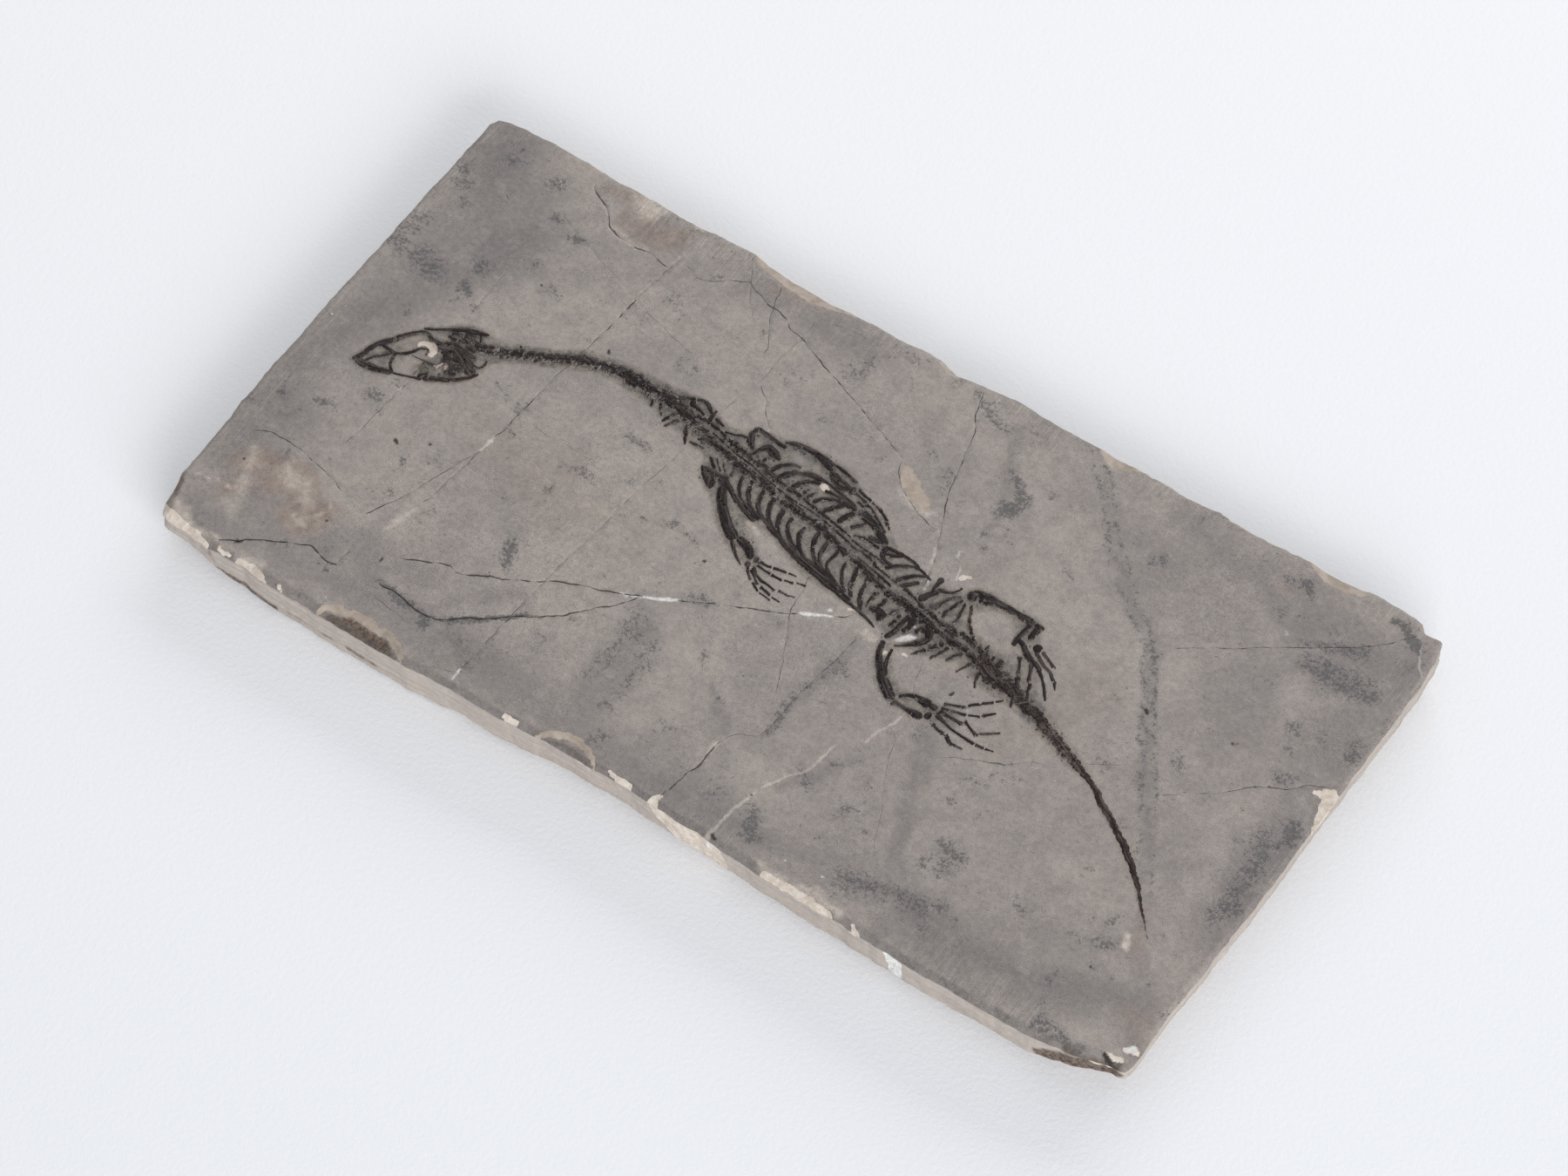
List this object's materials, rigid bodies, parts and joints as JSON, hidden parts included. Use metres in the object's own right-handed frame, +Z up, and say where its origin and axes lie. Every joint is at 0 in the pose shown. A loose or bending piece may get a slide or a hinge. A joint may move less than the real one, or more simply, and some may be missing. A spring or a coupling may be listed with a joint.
{
  "type": "keichousaurus fossil slab",
  "caption": "Thin rectangular slab of grey limestone with the dark skeleton of a small long-necked sea reptile in low relief on its split face.",
  "frame": {"origin": "middle of the slab's flat underside, at the centre of its bounding box", "axes": "+X along the slab from the snout end to the tail end, +Y across it towards the animal's right side, +Z up out of the split face"},
  "size_m": [0.285, 0.153, 0.0134],
  "materials": {
    "limestone": "dull, fine-grained split face with hairline cracks, pale calcite veins and broken, cream-stained edges",
    "skull_bone": "dark brown fossil bone with a faint sheen and a few cream and olive patches",
    "column_bone": "near-black brown fossil bone, rough and fibrous, with a film of matrix",
    "limb_bone": "near-black fossil bone with a faint sheen"
  },
  "bodies": {
    "root": {"matrix_slab": "limestone", "skull": "skull_bone", "jaw_right": "skull_bone", "jaw_left": "skull_bone", "humerus_right": "limb_bone", "humerus_left": "limb_bone", "femur_right": "limb_bone", "femur_left": "limb_bone", "radius_right": "limb_bone", "ulna_right": "limb_bone", "radius_left": "limb_bone", "ulna_left": "limb_bone", "tibia_right": "limb_bone", "fibula_right": "limb_bone", "tibia_left": "limb_bone", "fibula_left": "limb_bone", "carpal_right": "limb_bone", "carpal_left_1": "limb_bone", "carpal_left_2": "limb_bone", "tarsals_right": "limb_bone", "tarsal_left_1": "limb_bone", "tarsal_left_2": "limb_bone", "right_hand_digit_1": "limb_bone", "right_hand_digit_2": "limb_bone", "right_hand_digit_3": "limb_bone", "left_hand_digit_1": "limb_bone", "left_hand_digit_2": "limb_bone", "left_hand_digit_3": "limb_bone", "left_hand_digit_4": "limb_bone", "left_hand_digit_5": "limb_bone", "right_foot_digit_1": "limb_bone", "right_foot_digit_2": "limb_bone", "right_foot_digit_3": "limb_bone", "right_foot_digit_4": "limb_bone", "right_foot_digit_5": "limb_bone", "left_foot_digit_1": "limb_bone", "left_foot_digit_2": "limb_bone", "left_foot_digit_3": "limb_bone", "left_foot_digit_4": "limb_bone", "left_foot_digit_5": "limb_bone", "neck_vertebrae": "column_bone", "back_vertebrae": "column_bone", "sacrum": "column_bone", "tail_base": "column_bone", "tail": "column_bone", "clavicle_right": "limb_bone", "clavicle_left": "limb_bone", "interclavicle": "limb_bone", "scapula_right": "limb_bone", "coracoid_right": "limb_bone", "scapula_left": "limb_bone", "coracoid_left": "limb_bone", "ilium_right": "limb_bone", "pubis_right": "limb_bone", "ilium_left": "limb_bone", "ischium_left": "limb_bone", "ribs_left": "column_bone", "ribs_right": "column_bone"}
  },
  "joints": []
}
